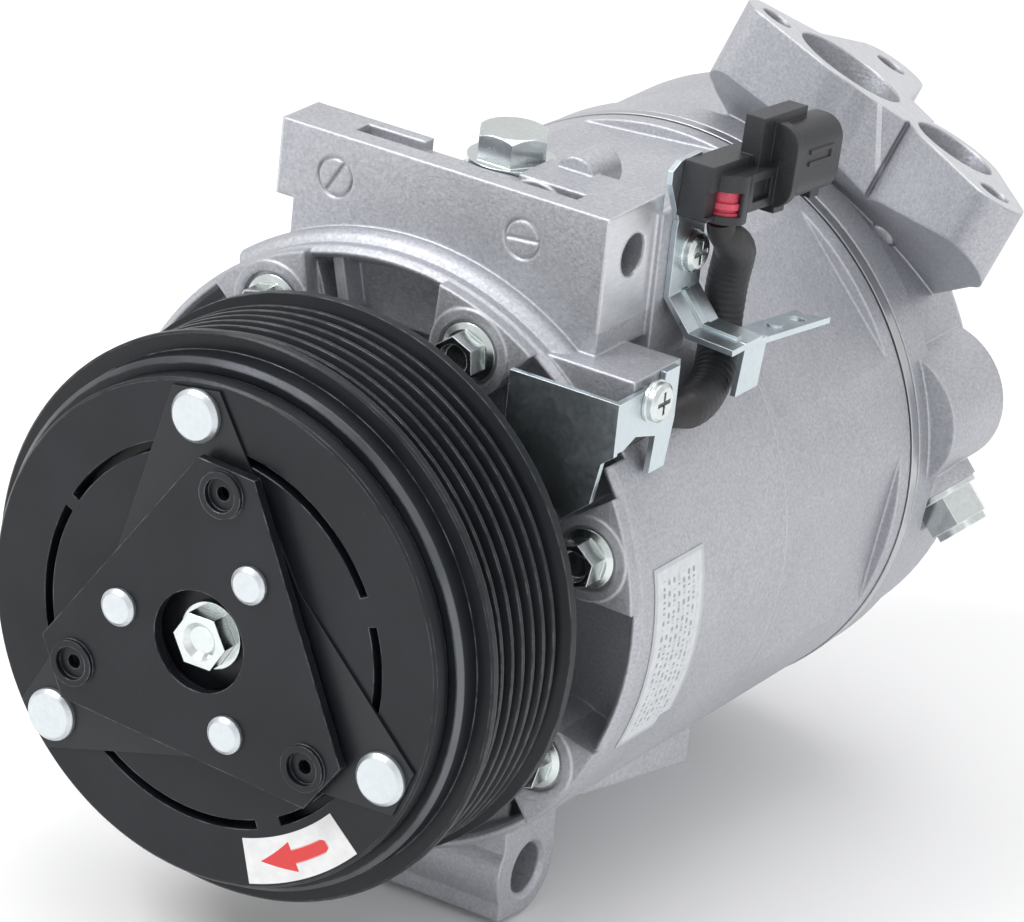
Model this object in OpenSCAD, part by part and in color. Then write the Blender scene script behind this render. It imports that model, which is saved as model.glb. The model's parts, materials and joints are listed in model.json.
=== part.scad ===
// Belt-driven refrigerant compressor with an electromagnetic clutch.
// The shaft axis is the Y axis, the clutch faces -Y, +Z is up when the
// mounting bar is on top. Origin: centre of the belt track on the shaft axis.
// All sizes in millimetres.

/* [Body] */
// Outer radius of the cast housing, block and rear head
body_r = 60.5; // [60.2:0.1:61]
// Height of the top face of the mounting bar above the shaft axis
bar_top = 77.8; // [77.2:0.1:78.6]
// Left end of the mounting bar
bar_left = -33; // [-34:0.5:-32]
// Right end of the mounting bar
bar_right = 40.5; // [40.1:0.1:41]
// Diameter of the through hole in the mounting bar
bar_bore_d = 8.5; // [8.2:0.1:9]
// Diameter of the through hole in the lower lug
lug_bore_d = 10.5; // [8.5:0.1:10.8]

/* [Pulley and clutch] */
// Radius over the rib crests of the belt track
belt_r = 54.4; // [54:0.1:54.8]
// Radius of the two belt flanges
flange_r = 55.8; // [55.5:0.1:56.2]
// Outer radius of the armature plate
armature_r = 49.6; // [49:0.1:50]
// Axial air gap between armature and friction face when the clutch is open
air_gap = 0.5; // [0.35:0.05:0.6]

/* [Ports] */
// Diameter of the suction port
suction_d = 23.8; // [22:0.1:24]
// Diameter of the discharge port
discharge_d = 17.8; // [16:0.1:18]

/* [Coil lead] */
// Diameter of the sleeve on the coil lead
sleeve_d = 8.4; // [7.6:0.1:8.5]

/* [Hidden] */
$fn = 72;

alu = [0.74,0.75,0.77]; blk = [0.12,0.12,0.13]; zinc = [0.75,0.78,0.74];
steel = [0.62,0.63,0.65]; rubber = [0.08,0.08,0.08];

// bolt circle of the seven through bolts and the angle of the first one
bolt_c = 51.2; bolt_a = 68.5; step = 360/7;
// pitch radius of the seven cylinders, half a step away from the bolts
cyl_c = 40; cyl_a = bolt_a + step/2; cyl_r = 15.5;
// axial stations
y_rim = 29; y_floor = 40; y_seat = 27.4; y_bar = 36.4; y_seam = 83.9;
y_block = 133.3; y_plate = 133.7; y_plate2 = 136.1; y_head = 137.1; y_end = 168;
y_fric = -19.4; y_arm = y_fric - air_gap; arm_t = 4;
y_hub = -27.9;
riv_a = 99; riv_r = 43; hub_a = 55.65; hub_rr = 18.06; dim_a = 85.7; dim_r = 30.55;
swash_y = 73;
mark1 = [-20.1,69.2]; mark2 = [22.1,68.8];
// ports and flange holes on the port face
port_s = [-3.1,0]; port_d = [24.2,0]; thr_l = [-19.5,-7]; thr_r = [39,-11]; thr_b = [-4.8,28];
// oil plug: axis and seat height, behind the mounting bore
plug_x = 6.2; plug_y = 56.6; plug_z = 72.8;

// ---------- helpers ----------
// cylinder along +Y from y0 to y1
module ycyl(r, y0, y1, x=0, z=0) translate([x,y0,z]) rotate([-90,0,0]) cylinder(r=r, h=y1-y0);
// cylinder along +X
module xcyl(r, x0, x1, y, z) translate([x0,y,z]) rotate([0,90,0]) cylinder(r=r, h=x1-x0);
// body of revolution about Y, points are [radius, y]
module yrev(p) rotate([-90,0,0]) rotate_extrude($fn=120) polygon(p);
// ring about Y
module yring(ri, ro, y0, y1) yrev([[ri,y0],[ro,y0],[ro,y1],[ri,y1]]);
// children moved round the shaft, angle measured from +X towards +Z
module at(a) rotate([0,-a,0]) children();
module around(n, a0) for (i=[0:n-1]) at(a0 + i*360/n) children();
// sector slot of a ring about Y
module yarc(ri, ro, y0, y1, a0, a1) rotate([0,-a1,0]) rotate([-90,0,0])
  rotate_extrude(angle=a1-a0, $fn=120) translate([ri,y0]) square([ro-ri, y1-y0]);
// hexagonal prism along +Z, size over flats
module hexz(af, h) cylinder(r=af/sqrt(3), h=h, $fn=6);
// frame of the port face: local x along the face, y to the rear, z outwards
module port_frame() translate([0,150,0]) rotate([0,22,0]) translate([0,0,81]) rotate([-18,0,0]) children();
// frame of the relief valve: local z points outwards, origin on its seat
module relief_frame() translate([58.9,152,-7.2]) rotate([0,137,0]) children();
// frame of the control valve: local z points up into the head
cv_x = -22; cv_y = 157; cv_z = -62;
module cv_frame() translate([cv_x,cv_y,cv_z]) children();

// swept tube with a round section along a route: one closed skin
function unit(v) = v/norm(v);
function rot_to(a,b,n) = let(c=cross(a,b), s=norm(c), d=a*b)
  s < 1e-6 ? n : let(k=c/s) n*d + cross(k,n)*s + k*(k*n)*(1-d);
function tangents(p) = [for (i=[0:len(p)-1]) unit(p[min(i+1,len(p)-1)]-p[max(i-1,0)])];
function frames(t, n, i=0) = i >= len(t) ? [] :
  let(m = i==0 ? n : rot_to(t[i-1], t[i], n), k = unit(m - t[i]*(m*t[i])))
  concat([k], frames(t, k, i+1));
function arc_fn(p0,p1,p2,p3,s) = 0.5*((2*p1)+(p2-p0)*s+(2*p0-5*p1+4*p2-p3)*s*s+(3*p1-p0-3*p2+p3)*s*s*s);
function smooth(p, k) = concat([for (i=[0:len(p)-2]) for (j=[0:k-1])
  arc_fn(p[max(i-1,0)],p[i],p[i+1],p[min(i+2,len(p)-1)],j/k)], [p[len(p)-1]]);
module tube(p, r, sides=8) {
  t = tangents(p); n0 = abs(t[0][2]) < 0.9 ? unit(cross(t[0],[0,0,1])) : unit(cross(t[0],[1,0,0]));
  f = frames(t, n0); m = len(p);
  v = [for (i=[0:m-1]) for (j=[0:sides-1]) let(a=360*j/sides, b=cross(t[i],f[i]))
        p[i] + (f[i]*cos(a) + b*sin(a))*r[i]];
  q = [for (i=[0:m-2]) for (j=[0:sides-1]) let(k=(j+1)%sides)
        [i*sides+j, i*sides+k, (i+1)*sides+k, (i+1)*sides+j]];
  polyhedron(v, concat([[for (j=[0:sides-1]) j]], [for (e=q) [e[3],e[2],e[1],e[0]]],
        [[for (j=[sides-1:-1:0]) (m-1)*sides+j]]), convexity=6);
}

// ---------- cast body ----------
module front_housing() color(alu) {
  difference() {
    union() {
      // nose, front wall, recessed rim and barrel
      yrev([[14,-13],[16.9,-13],[17.5,-12.4],[17.5,-11.5],[16.5,-11.5],[16.5,-10.1],[17.5,-10.1],
            [17.5,10.1],[20,10.1],[20,12.1],[18.9,12.1],[18.9,13.45],[20,13.45],[20,17],[24.5,17],
            [26,31],[30,y_floor],[58.2,y_floor],[58.2,y_rim+0.8],[59,y_rim],[body_r-1,y_rim],[body_r,y_rim+1.2],
            [body_r,y_seam],[54,y_seam],[54,49.5],[50,46.5],[31,46.5],[31,44],[13.5,44],[13.5,28.5],
            [10.4,28.5],[10.4,13.6],[14,13.6],[14,5.5],[15,5.5],[15,4.2],[14,4.2]]);
      // bosses round the seven bolt heads
      intersection() {
        union() { around(7, bolt_a) { ycyl(8.6, y_seat-0.9, 42, bolt_c);
            translate([0,42,0]) rotate([90,0,0]) linear_extrude(42-y_seat+0.6) polygon([[bolt_c-4,-6],[bolt_c-1,-8.3],[62,-12.4],[62,12.4],[bolt_c-1,8.3],[bolt_c-4,6]]); }
          // webs between nose and bosses
          around(7, bolt_a) translate([25,32,-2.2]) cube([20,9,4.4]);
          // two short webs in the upper left recess
          at(110.5) translate([47,31,-1.1]) cube([12,10,2.2]);
          at(104.5) translate([47,31,-1.1]) cube([12,10,2.2]); }
        ycyl(body_r-0.4, 20, 60);
      }
      // rounded shoulder between barrel and bar
      rotate([0,-128,0]) rotate([-90,0,0]) rotate_extrude(angle=84,$fn=120) translate([59.2,y_rim+6.6]) circle(r=3.4,$fn=48);
      // mounting bar: front wall, left block, right block
      translate([bar_left+4,y_bar,44]) cube([bar_right-bar_left-4,4.6,bar_top-44]);
      translate([bar_left,y_bar,62.5]) cube([13.5,12,bar_top-62.5]);
      translate([bar_left+13,y_bar+9.2,62.5]) cube([13.6,2.8,bar_top-62.5]);
      translate([bar_left+13,y_bar,62.5]) cube([13.6,12,11.3]);
      xcyl(7.3, bar_left, bar_right, 46.4, 68.2);
      translate([bar_left+5,y_bar,52]) cube([5,17,16]);
      difference() {
        translate([15.4,y_bar,50]) cube([bar_right-15.4,19.6,bar_top-50]);
        translate([15.4,y_bar+4.6,72]) cube([15,3.4,10]);
      }
      // rear part of the right block that carries the lead bracket
      translate([27,54,44]) cube([14.8,13.4,26.5]);
      translate([27,54,70]) cube([14.8,8,4.4]);
      // boss under the oil plug and cast stub behind it
      ycyl(8, 44, 62, 19.6, 69.5);
      ycyl(4.3, 53.4, 63.5, 22.2, 76.3);
      translate([plug_x,plug_y,50]) cylinder(r=9.4, h=plug_z-50);
      translate([plug_x,52,50]) cube([12,9,20]);
      // platform behind the lead cover
      translate([28,31,41.6]) cube([24.6,16.5,8.9]);
      translate([30,33,30]) cube([14,17,14]);
      // lower mounting lug
      translate([-24,0,0]) rotate([90,0,90]) linear_extrude(56.5) {
        polygon([[37,-45],[37,-71.2],[45,-72.2],[46,-62],[55.4,-61.6],[55,-45]]);
        translate([45.4,-62.2]) circle(r=10);
      }
      // lower right foot running to the rear edge of the housing
      translate([24,0,0]) rotate([90,0,90]) linear_extrude(20.4)
        polygon([[43,-25],[43,-41.6],[y_seam,-49],[y_seam,-25]]);
    }
    // crank chamber stays free of the castings added outside
    yrev([[0,44],[31,44],[31,46.5],[50,46.5],[54,49.5],[54,y_seam+1],[0,y_seam+1]]);
    // bolt holes and spot faces
    around(7, bolt_a) { ycyl(3.3, 20, y_seam+1, bolt_c); ycyl(6.6, 20, y_seat, bolt_c); }
    // slot for the coil lead in the rim
    at(38) translate([40,25,-4.5]) cube([22,9.5,9]);
    // room for the lead outside the barrel below the platform
    at(37.4) translate([60.55,24,-5]) cube([8,60,7.5]);
    // mounting holes
    xcyl(bar_bore_d/2, bar_left-1, bar_right+1, 46.4, 68.2);
    xcyl(lug_bore_d/2, -25, 33.5, 46.4, -63.1);
    translate([32.5,46.4,-63.1]) rotate([0,-90,0]) translate([0,0,-0.01]) cylinder(r1=lug_bore_d/2+0.9,r2=lug_bore_d/2,h=0.9);
    translate([plug_x,plug_y,plug_z]) cylinder(r=9.3, h=20);
    // two round casting marks on the front face of the bar
    for (q=[[mark1[0],mark1[1],60],[mark2[0],mark2[1],5]]) {
      translate([q[0],0,q[1]]) yring(3.5, 4.1, y_bar-1, y_bar+0.4);
      translate([q[0],0,q[1]]) rotate([0,-q[2],0]) translate([-3.8,y_bar-1,-0.35]) cube([7.6,1.4,0.7]);
    }
    // oil plug thread
    translate([plug_x,plug_y,52]) cylinder(r=4, h=30);
    // screw holes
    xcyl(2.5, 30, 42, 63.5, 65.3);
    xcyl(2.5, 41, 53, 36, 46);
    // space round the pulley
    yring(26.5, 62, -30, 16);
  }
}

module cylinder_block() color(alu) difference() {
  ycyl(body_r, y_seam, y_block);
  // flats between the bolt pads, ending in a rear flange
  around(7, cyl_a) translate([body_r-2.5,y_seam+2.6,-20]) cube([10,42.9,40]);
  around(7, cyl_a) ycyl(cyl_r, y_seam-1, y_block+1, cyl_c);
  around(7, bolt_a) ycyl(3.3, y_seam-1, y_block+1, bolt_c);
  // centre recess, rear bearing seat and pressure relief bore
  ycyl(19.5, y_seam-1, 95); ycyl(13.5, 94, 113); ycyl(10.5, 94, y_block+1);
  // groove for the case seal
  yring(57.25, 59.25, y_seam-1, y_seam+1.3);
}

// outline of the port face: pads round both ports and the three screw holes
module pad_link(a, ra, b, rb) {
  d = norm(b-a); f = atan2(b[1]-a[1], b[0]-a[0]); g = acos((ra-rb)/d);
  polygon([a+(ra-0.01)*[cos(f-g),sin(f-g)], b+(rb-0.01)*[cos(f-g),sin(f-g)], b+(rb-0.01)*[cos(f+g),sin(f+g)], a+(ra-0.01)*[cos(f+g),sin(f+g)]]);
}
module port_outline() {
  k = cos(18);
  s0 = [port_s[0], port_s[1]*k]; d0 = [port_d[0], port_d[1]*k];
  l0 = [thr_l[0], thr_l[1]*k]; r0 = [thr_r[0], thr_r[1]*k]; b0 = [thr_b[0], thr_b[1]*k];
  translate(s0) circle(r=14.2); translate(d0) circle(r=11.1);
  translate(l0) circle(r=6.7); translate(r0) circle(r=6.9); translate(b0) circle(r=7.8);
  pad_link(s0, 14.2, l0, 6.7);
  pad_link(s0, 12.8, b0, 7.8);
  polygon([s0+[0,-13.5],[8,-11.6],[15,-8.3],[15,8.3],[8,11.6],s0+[0,13.5]]);
  pad_link(d0, 11.1, r0, 6.9);
}
// prism across the tower, its points are [y, height] in the tower's own tilt
module flank(p) rotate([0,22,0]) rotate([90,0,90]) translate([0,0,-80]) linear_extrude(160) polygon(p);
module rear_head() color(alu) difference() {
  union() {
    yrev([[0,y_head],[body_r,y_head],[body_r,145],[58.6,147],[58.6,162.5],[56.8,166],[53,y_end],[0,y_end]]);
    // tower carrying the port face
    intersection() {
      translate([0,150,0]) rotate([0,22,0]) translate([0,0,38]) linear_extrude(70) port_outline();
      port_frame() translate([-90,-90,-90]) cube([180,180,90]);
      flank([[128,130],[128,78],[146,60.5],[157,47],[158,30],[200,30],[200,130]]);
    }
    // bulge behind the left foot of the tower
    yarc(20, 58.6, 150, 179, 97, 150);
    // boss on the right flank
    ycyl(15, 141, 161.5, 50.5, 10);
    // pad of the relief valve
    relief_frame() translate([0,0,-16]) cylinder(r=8, h=16);
    // boss of the control valve
    cv_frame() cylinder(r=13, h=30);
    // raised ring and pad on the rear wall
    yring(14, 18, 167, 170.5);
    yring(44, 47, 167, 169.5);
  }
  // keep the gasket plane free
  ycyl(64, 100, y_head);
  // suction and discharge chambers
  yring(29.5, 46.5, y_head-1, 146.5);
  ycyl(25.5, y_head-1, 147);
  // ports: a round mouth square to the port face, then a narrower way straight down
  port_frame() translate([port_s[0],port_s[1],-6]) cylinder(r=suction_d/2, h=7);
  port_frame() translate([port_d[0],port_d[1],-5.5]) cylinder(r=discharge_d/2, h=7);
  rotate([0,22,0]) translate([port_s[0],149.5,68]) cylinder(r=8.5, h=9);
  rotate([0,22,0]) translate([port_d[0],151,68]) cylinder(r=6, h=9);
  // inner ways from the ports to the chambers
  at(70.6) { ycyl(3.8, 145, 156, 42); translate([42,156,0]) rotate([0,90,0]) cylinder(r=3.8, h=28); }
  at(48.4) { ycyl(3.2, 145, 152, 20); translate([20,152,0]) rotate([0,90,0]) cylinder(r=3.2, h=55); }
  // threaded holes of the pipe flange
  for (q=[thr_l, thr_r, thr_b]) port_frame() translate([q[0],q[1],-9.6]) cylinder(r=3.4, h=10.6);
  // blind holes of the through bolts
  around(7, bolt_a) ycyl(3, y_head-1, 152, bolt_c);
  // relief valve
  relief_frame() translate([0,0,-15.5]) cylinder(r=5, h=16);
  relief_frame() translate([0,0,-0.02]) cylinder(r=8.4, h=14);
  relief_frame() translate([0,0,-20]) cylinder(r=1.6, h=10);
  // control valve bore with its ring groove
  cv_frame() translate([0,0,-1]) cylinder(r=9, h=50);
  cv_frame() translate([0,0,2]) cylinder(r=9.9, h=1.3);
  ycyl(1.6, 145, 150, cv_x, -32);
}

module valve_plate() color(steel) difference() {
  ycyl(body_r+0.3, y_plate, y_plate2);
  around(7, bolt_a) ycyl(3.3, y_plate-1, y_plate2+1, bolt_c);
  around(7, cyl_a) { ycyl(4.4, y_plate-1, y_plate2+1, 41); ycyl(2.6, y_plate-1, y_plate2+1, 30.5-6); }
  ycyl(1.5, y_plate-1, y_plate2+1);
}
module suction_reed() color([0.2,0.2,0.22]) difference() {
  ycyl(body_r-0.4, y_block, y_plate);
  around(7, bolt_a) ycyl(3.3, y_block-1, y_plate+1, bolt_c);
  // tongue over each suction hole, opening for the discharge hole
  around(7, cyl_a) { translate([41,0,0]) yarc(5.6, 6.4, y_block-1, y_plate+1, -110, 110);
    ycyl(2.6, y_block-1, y_plate+1, 24.5); }
  ycyl(1.5, y_block-1, y_plate+1);
}
module discharge_reed() color([0.24,0.24,0.26]) difference() {
  ycyl(26.5, y_plate2, y_plate2+0.4);
  around(7, cyl_a+step/2) translate([18,y_plate2-1,-0.7]) cube([10,3,1.4]);
  ycyl(1.5, y_plate2-1, y_plate2+1);
}
module head_gasket() color(rubber) difference() {
  ycyl(body_r-0.4, y_plate2, y_head);
  ycyl(27, y_plate2-1, y_plate2+0.45);
  ycyl(25.5, y_plate2-1, y_head+1);
  around(7, bolt_a) ycyl(3.3, y_plate2-1, y_head+1, bolt_c);
  around(7, cyl_a) ycyl(4.8, y_plate2-1, y_head+1, 41);
}
module case_o_ring() color(rubber) rotate([-90,0,0]) rotate_extrude($fn=120) translate([58.25,y_seam+0.65]) circle(r=0.64,$fn=32);
bolt_turn = [28,14,40,5,22,50,3];
module through_bolts() color(zinc) for (i=[0:6]) at(bolt_a+i*step) translate([bolt_c,0,0]) {
  ycyl(2.98, y_seat-1, 149);
  rotate([0,-bolt_turn[i],0]) difference() {
    union() {
      // flange with a sloping top and the hexagon
      translate([0,y_seat,0]) rotate([90,0,0]) { cylinder(r=5.85, h=0.7); translate([0,0,0.7]) cylinder(r1=5.85, r2=4.6, h=0.6); hexz(8, 6); }
    }
    translate([0,y_seat-6.01,0]) rotate([-90,0,0]) cylinder(r1=3.1, r2=2.6, h=1.7);
  }
}

// ---------- pistons ----------
module pistons() color([0.66,0.67,0.68]) around(7, cyl_a) difference() {
  union() {
    ycyl(cyl_r-0.05, 87, y_block-0.5, cyl_c);
    intersection() {
      union() {
        translate([48.2,58.5,-7]) cube([6,29,14]);
        translate([33.5,58.5,-7.5]) cube([20,7.7,15]);
        translate([33.5,79.8,-7.5]) cube([20,8,15]);
      }
      ycyl(53.3, 50, 90);
    }
  }
  translate([cyl_c,swash_y,0]) sphere(r=8.0);
  // ring groove and lightening hole
  translate([cyl_c,0,0]) yring(cyl_r-0.6, cyl_r+1, 126, 128);
}
module piston_shoes() color([0.72,0.62,0.4]) around(7, cyl_a) for (s=[-1,1])
  translate([cyl_c,swash_y,0]) intersection() {
    sphere(r=7.95);
    rotate([-90,0,0]) translate([0,0,s>0?3.3:-8.2]) cylinder(r=7, h=4.9);
  }

// ---------- shaft seal and bearings ----------
module shaft_seal() color(rubber) yrev([[14,5.6],[14,12.4],[9.2,12.4],[9.2,11.6],[13,11.6],[13,6.9],
  [9,6.9],[8.6,9.4],[7.56,9.4],[7.56,8.6],[7.9,5.6]]);
module seal_ring() color(steel) difference() {
  yring(11.6, 14.9, 4.25, 5.45);
  translate([8,0,-2.5]) cube([10,8,5]);
}
module bearing_shells() color(steel) for (y=[29,98.2]) yrev([[11.6,y],[13.48,y],[13.48,y+14],[11.6,y+14]]);
module shaft_needles() color([0.7,0.71,0.73]) for (y=[29.4,98.6]) {
  around(14, 0) ycyl(1.25, y+1.4, y+11.8, 10.3);
  difference() {
    yring(9.55, 11.1, y, y+13.2);
    around(14, 0) ycyl(1.32, y+1.3, y+11.9, 10.3);
  }
}
module thrust_race() color(steel) yring(14, 30, 44, 44.8);
module thrust_needles() color([0.7,0.71,0.73]) {
  around(20, 0) translate([17,45.95,0]) rotate([0,90,0]) cylinder(r=1.08, h=9);
  difference() {
    yring(15, 28.5, 45.5, 46.4);
    around(20, 0) translate([16.9,45.95,0]) rotate([0,90,0]) cylinder(r=1.15, h=9.2);
  }
}

// ---------- rotating group ----------
module drive_shaft() color(steel) difference() {
  yrev([[0,-20.6],[5.6,-20.6],[6,-20.2],[6,-7],[7.5,-6],[7.5,26.5],[9,27.5],[9,116.5],[8,117.5],[0,117.5]]);
  ycyl(3.02, -21, -4);
}
module lug_plate() color(steel) difference() {
  union() {
    yrev([[9.02,47.1],[36,47.1],[42,49.5],[42,57.5],[9.02,57.5]]);
    // two ears that carry the hinge pin
    for (s=[-1,1]) translate([s*9-2,57,18]) cube([4,9.6,12]);
  }
  translate([-13,63,24]) rotate([0,90,0]) cylinder(r=3, h=26);
  // counterweight relief
  ycyl(7, 50, 58, 0, -30);
  ycyl(9.02, 40, 60);
}
module hinge_pin() color(steel) translate([-11.4,63,24]) rotate([0,90,0]) cylinder(r=2.98, h=22.8);
module swash_sleeve() color([0.55,0.56,0.58]) difference() { yrev([[9.06,67],[12.4,67],[13.4,69],[13.4,80],[9.06,80]]); ycyl(9.06,60,90); }
module swash_plate() color([0.6,0.6,0.58]) difference() {
  union() {
    yring(13.45, 47, swash_y-3, swash_y+3);
    yring(13.45, 19, swash_y-5, swash_y-2.5);
    translate([-5.5,59.4,18]) cube([11,12,12]);
  }
  translate([-13,63,24]) rotate([0,90,0]) cylinder(r=3, h=26);
  ycyl(13.45, 50, 90);
}
module destroke_spring() color(steel) tube([for (i=[0:64]) let(a=i*360/16) [11.1*cos(a), 58.3+i*7.9/64, 11.1*sin(a)]], [for (i=[0:64]) 0.6], 8);

// ---------- pulley ----------
module pulley() color(blk) difference() {
  yrev(concat([[26,-12.2],[26,-19.4],[51.1,-19.4],[52.1,-18.3],[52.3,-14.3],[flange_r-0.4,-14.3],[flange_r,-13.9],[flange_r,-12.57],[belt_r,-12.06]],
    [for (k=[-3:3]) for (j=[0:3]) let(c=k*3.56) [j==0||j==3 ? belt_r : belt_r-2.6, c + [-1.38,-0.434,0.434,1.38][j]]],
    [[belt_r,12.06],[flange_r,12.57],[flange_r,14.4],[flange_r-0.4,14.8],[48.2,14.8],[48.2,-13.2],[30.1,-13.2],[30.1,10.4],[26,10.4]]));
  // flux slots in the friction wall
  for (i=[0:2]) { yarc(33.6, 35.4, -22, -12, i*120+4, i*120+54); yarc(33.6, 35.4, -22, -12, i*120+64, i*120+114); }
}
module pulley_bearing_outer() color(steel) difference() {
  yrev([[23.3,-10],[25.98,-10],[25.98,10],[23.3,10],[23.3,9],[23.9,9],[23.9,8],[23.3,8],[23.3,-8],[23.9,-8],[23.9,-9],[23.3,-9]]);
  for (y=[-4.2,4.2]) rotate([-90,0,0]) rotate_extrude($fn=96) translate([21.75,y]) circle(r=2.46,$fn=40);
}
module pulley_bearing_inner() color(steel) difference() {
  yrev([[17.51,-10],[20.2,-10],[20.2,10],[17.51,10]]);
  for (y=[-4.2,4.2]) rotate([-90,0,0]) rotate_extrude($fn=96) translate([21.75,y]) circle(r=2.46,$fn=40);
}
module bearing_seals() color(rubber) for (s=[-1,1]) yrev(s>0 ? [[20.5,8.2],[23.7,8.1],[23.7,8.9],[20.5,9]] : [[20.5,-9],[23.7,-8.9],[23.7,-8.1],[20.5,-8.2]]);
module pulley_bearing_balls() color([0.8,0.81,0.83]) for (y=[-4.2,4.2]) around(14, y*3) translate([21.75,y,0]) sphere(r=2.38);
module pulley_bearing_cage() color([0.55,0.5,0.4]) difference() {
  yring(21.0, 22.5, -7.2, 7.2);
  for (y=[-4.2,4.2]) around(14, y*3) translate([20,y,0]) rotate([0,90,0]) cylinder(r=2.46, h=4);
}
module nose_ring() color(steel) difference() { yring(16.6, 19.4, -11.45, -10.2); translate([12,-14,-2]) cube([10,8,4]); }

// ---------- coil ----------
module coil_case() color(blk) difference() {
  yrev([[30.8,-11.8],[33.2,-11.8],[33.2,13.3],[44.4,13.3],[44.4,-11.8],[47.4,-11.8],[47.4,17],[20.05,17],[20.05,13.5],[30.8,13.5]]);
  // outlet of the lead
  at(38) translate([43,10,0]) rotate([-90,0,0]) cylinder(r=2.9, h=9);
}
module coil_winding() color([0.55,0.3,0.14]) yring(33.4, 44.2, -10.6, 12.6);
module coil_ring() color(steel) difference() { yring(19.0, 22.4, 12.2, 13.38); translate([14,10,-2]) cube([10,8,4]); }

// ---------- clutch ----------
module clutch_hub() color(blk) difference() {
  yrev([[6.02,-22.6],[22,-22.6],[22,-20.2],[9,-20.2],[9,-8],[6.02,-8]]);
  around(3, hub_a) ycyl(2.2, -24, -18, hub_rr);
}
module hub_poly(h) linear_extrude(h) polygon([for (k=[0:2]) for (d=[-10,10]) let(a=dim_a+120*k+d) 36.3*[cos(a),sin(a)]]);
module hub_plate() color(blk) difference() {
  union() {
    translate([0,y_hub+2,0]) rotate([90,0,0]) hub_poly(2);
    // three formed cups with a small hole
    around(3, dim_a) ycyl(4.6, y_hub-0.9, y_hub+1, dim_r);
  }
  ycyl(10, y_hub-2, y_hub+4);
  around(3, dim_a) { ycyl(3.3, y_hub-2, y_hub+0.4, dim_r); ycyl(1.4, y_hub-2, y_hub+4, dim_r); }
  around(3, hub_a) ycyl(2.2, y_hub-2, y_hub+4, hub_rr);
}
module hub_rivets() color([0.8,0.82,0.84]) around(3, hub_a) translate([hub_rr,0,0]) {
  ycyl(2.18, y_hub, -20.2);
  ycyl(3.4, y_hub+2, -22.6);
  difference() { ycyl(3.7, y_hub-1.5, y_hub); translate([0,y_hub-1.51,0]) rotate([-90,0,0]) difference() { translate([0,0,-0.1]) cylinder(r=4.2,h=0.8); cylinder(r1=2.9, r2=3.75, h=0.8); } }
}
module spring_plate() color([0.16,0.16,0.17]) difference() {
  translate([0,y_arm-arm_t,0]) rotate([90,0,0]) linear_extrude(0.6)
    polygon([for (k=[0:2]) for (j=[0:2]) let(a=riv_a+120*k+[-6.2,6.2,60][j]) [48.4,48.4,24][j]*[cos(a),sin(a)]]);
  ycyl(11, -30, -20);
  around(3, hub_a) ycyl(3.9, -30, -20, hub_rr);
  around(3, riv_a) ycyl(2.6, -30, -20, riv_r);
}
module armature() color(blk) difference() {
  yrev([[24,y_arm],[24,y_arm-arm_t],[armature_r-0.5,y_arm-arm_t],[armature_r,y_arm-arm_t+0.5],[armature_r,y_arm]]);
  for (q=[[29.4,89.5],[-8,20.5],[-59.8,-30],[-126,-68.4],[155.7,205],[114,151.5]]) yarc(36.1, 37.9, -30, -15, q[0], q[1]);
  around(3, riv_a) ycyl(2.6, -30, -10, riv_r);
}
module armature_rivets() color([0.82,0.84,0.86]) around(3, riv_a) translate([riv_r,0,0]) {
  ycyl(2.58, y_arm-arm_t-0.6, y_arm-0.1);
  yfr = y_arm-arm_t-0.6;
  translate([0,yfr,0]) rotate([90,0,0]) { cylinder(r=5.2, h=0.9); translate([0,0,0.9]) cylinder(r1=5.2, r2=4.4, h=0.8); }
}
module centre_bolt() color(zinc) {
  ycyl(3, -22.6, -7);
  ycyl(6.6, -24, -22.6);
  translate([0,-24,0]) rotate([90,0,0]) difference() { hexz(10, 3.8); translate([0,0,2.6]) cylinder(r1=2.6, r2=3.8, h=1.3); }
}
module direction_sticker() color([0.93,0.93,0.93]) yarc(39.6, 48.6, y_arm-arm_t-0.15, y_arm-arm_t, -74, -42);

// ---------- valves, plug ----------
module oil_plug() color(zinc) translate([plug_x,plug_y,plug_z]) difference() {
  union() {
    translate([0,0,-15]) cylinder(r=3.98, h=16.3);
    translate([0,0,1.2]) cylinder(r=8.6, h=1.6);
    translate([0,0,2.8]) hexz(13, 5.6);
  }
  translate([0,0,7.6]) difference() { cylinder(r=9, h=2); translate([0,0,-0.01]) cylinder(r1=7.4, r2=6.3, h=0.85); }
}
module oil_plug_washer() color([0.7,0.45,0.25]) translate([plug_x,plug_y,plug_z]) difference() { translate([0,0,0.01]) cylinder(r=7.4, h=1.18); translate([0,0,-1]) cylinder(r=4.1, h=4); }
module relief_body() color(zinc) relief_frame() difference() {
  union() {
    translate([0,0,-14.5]) cylinder(r=4.98, h=14.6);
    hexz(12, 7.4);
    cylinder(r=7.4, h=1.2);
    translate([0,0,7.3]) cylinder(r=5.4, h=1.6);
  }
  translate([0,0,-13]) cylinder(r=3.3, h=15);
  translate([0,0,-15]) cylinder(r=1.7, h=3);
  translate([0,0,1]) cylinder(r=1.2, h=10);
}
module relief_poppet() color([0.75,0.6,0.3]) relief_frame() difference() {
  union() { translate([0,0,-13]) cylinder(r=3.24, h=3.2); translate([0,0,-9.9]) cylinder(r=1.5, h=2.4); }
}
module relief_spring() color(steel) relief_frame() tube([for (i=[0:56]) let(a=i*360/14) [2.4*cos(a), 2.4*sin(a), -7.2+i*8.2/56]], [for (i=[0:56]) 0.35], 8);
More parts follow.
